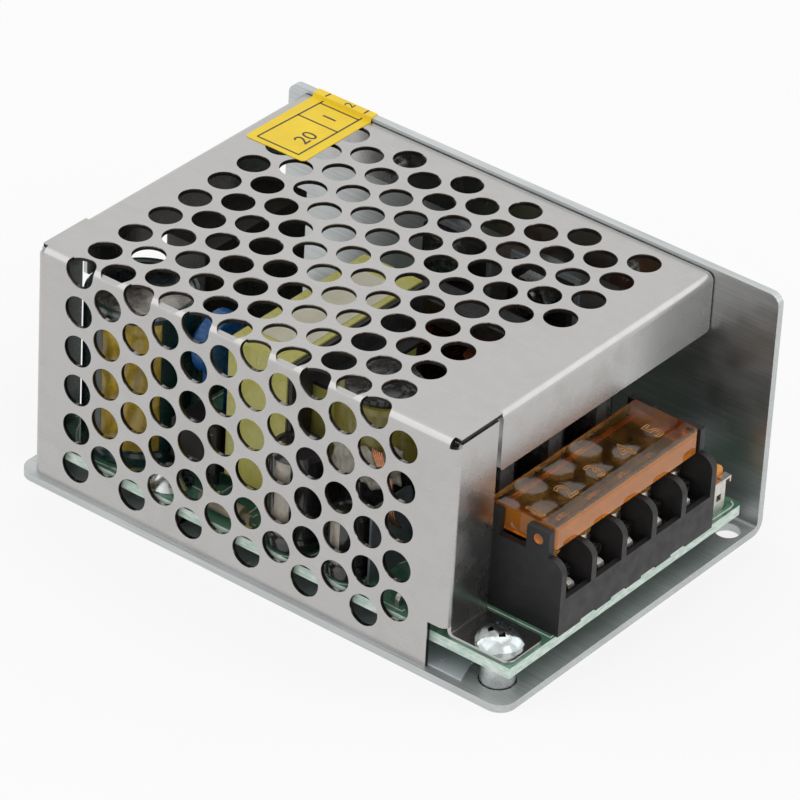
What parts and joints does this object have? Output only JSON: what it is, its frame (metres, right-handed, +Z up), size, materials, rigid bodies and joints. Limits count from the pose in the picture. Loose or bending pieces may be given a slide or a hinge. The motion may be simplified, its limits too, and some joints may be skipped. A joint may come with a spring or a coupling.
{
  "type": "enclosed switching power supply",
  "caption": "Small enclosed power supply: folded sheet chassis, perforated cover, circuit board with parts, screw terminal block under a hinged amber cover.",
  "frame": {"origin": "centre of the underside of the chassis base", "axes": "+X towards the terminal end, +Y towards the solid side wall, +Z up"},
  "size_m": [0.084, 0.0581, 0.0381],
  "materials": {
    "case_metal": "satin, plain sheet",
    "plated_metal": "bright nickel or zinc plating",
    "board": "glass-epoxy laminate with clear resist",
    "film": "thin translucent film",
    "black_plastic": "moulded, fine sheen",
    "amber_plastic": "clear tinted polycarbonate",
    "phenolic": "punched phenolic sheet",
    "label_paper": "printed sticker",
    "green_sleeve": "shrunk sleeve",
    "black_sleeve": "shrunk sleeve",
    "ferrite": "ground ferrite",
    "yellow_tape": "polyester tape",
    "copper": "enamelled wire",
    "blue_coating": "dipped coating",
    "green_coating": "dipped coating",
    "box_plastic": "moulded box",
    "brown_plastic": "moulded pot",
    "white_plastic": "moulded package",
    "pad_rubber": "heat-conducting pad"
  },
  "bodies": {
    "enclosure": {"board_screws": "plated_metal", "board_standoffs": "plated_metal", "bridge_rectifier": "black_plastic", "chassis": "case_metal", "choke_base": "black_plastic", "choke_core": "ferrite", "choke_windings": "copper", "circuit_board": "board", "cover_screw": "plated_metal", "date_label": "label_paper", "device_nuts": "plated_metal", "device_screws": "plated_metal", "flange_screws": "plated_metal", "fuse": "brown_plastic", "inductor_core": "ferrite", "inductor_winding": "yellow_tape", "input_capacitor": "green_sleeve", "insulating_pads": "pad_rubber", "insulation_film": "film", "jumper_wires": "plated_metal", "line_capacitor": "box_plastic", "optocoupler": "white_plastic", "output_capacitors": "black_sleeve", "output_rectifier": "black_plastic", "perforated_cover": "case_metal", "resistors": "blue_coating", "safety_capacitor": "blue_coating", "small_capacitors": "black_sleeve", "switching_transistor": "black_plastic", "terminal_clamps": "plated_metal", "terminal_contacts": "plated_metal", "terminal_housing": "black_plastic", "terminal_screws": "plated_metal", "thermistor": "green_coating", "transformer_bobbin": "black_plastic", "transformer_core": "ferrite", "transformer_tape": "yellow_tape", "transformer_winding": "yellow_tape", "trimmer_base": "phenolic", "trimmer_bracket": "plated_metal"},
    "cover_flap": {"terminal_cover": "amber_plastic"},
    "trimmer_rotor": {"trimmer_wiper": "plated_metal"}
  },
  "joints": [
    {"name": "cover_flip", "type": "hinge", "parent": "enclosure", "child": "cover_flap", "pos_m": [0.03755, 0, 0.02015], "axis": [0, 1, 0], "range_deg": [0, 110]},
    {"name": "trimmer_turn", "type": "hinge", "parent": "enclosure", "child": "trimmer_rotor", "pos_m": [0.0392, 0.0203, 0.0089], "axis": [1, 0, 0], "range_deg": [-120, 120]}
  ]
}
